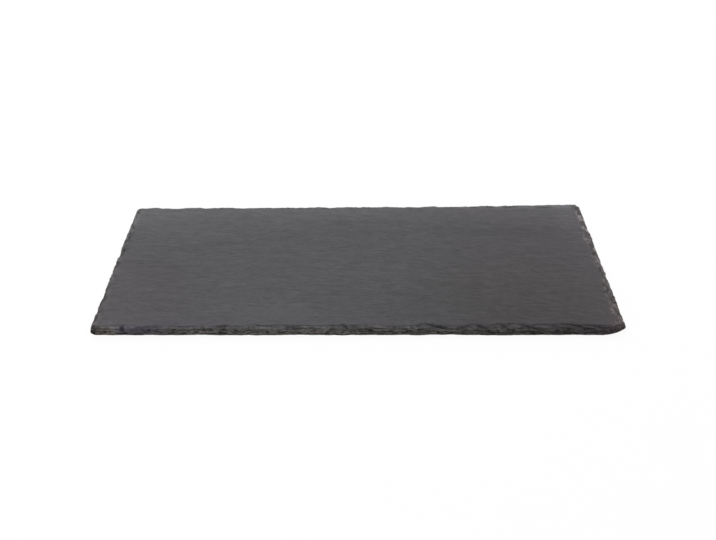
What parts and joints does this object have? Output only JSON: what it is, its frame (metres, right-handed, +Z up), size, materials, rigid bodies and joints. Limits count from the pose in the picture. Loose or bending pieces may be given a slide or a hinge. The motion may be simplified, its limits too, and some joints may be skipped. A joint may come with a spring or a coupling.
{
  "type": "serving board",
  "caption": "Rectangular riven slate serving board with hammer-dressed edges, raised on small stick-on rubber feet.",
  "frame": {"origin": "middle of the board's box, on the surface that its feet stand on", "axes": "+X along the board's length, +Y along its width towards the back edge, +Z up, out of the serving face"},
  "size_m": [0.3, 0.2, 0.007],
  "materials": {
    "slate": "matt, riven",
    "foot_rubber": "matt, moulded",
    "foot_adhesive": "clear to milky acrylic film"
  },
  "bodies": {
    "root": {"slate_slab": "slate", "rubber_foot_front_left": "foot_rubber", "rubber_foot_front_right": "foot_rubber", "rubber_foot_back_right": "foot_rubber", "rubber_foot_back_left": "foot_rubber", "adhesive_front_left": "foot_adhesive", "adhesive_front_right": "foot_adhesive", "adhesive_back_right": "foot_adhesive", "adhesive_back_left": "foot_adhesive"}
  },
  "joints": []
}
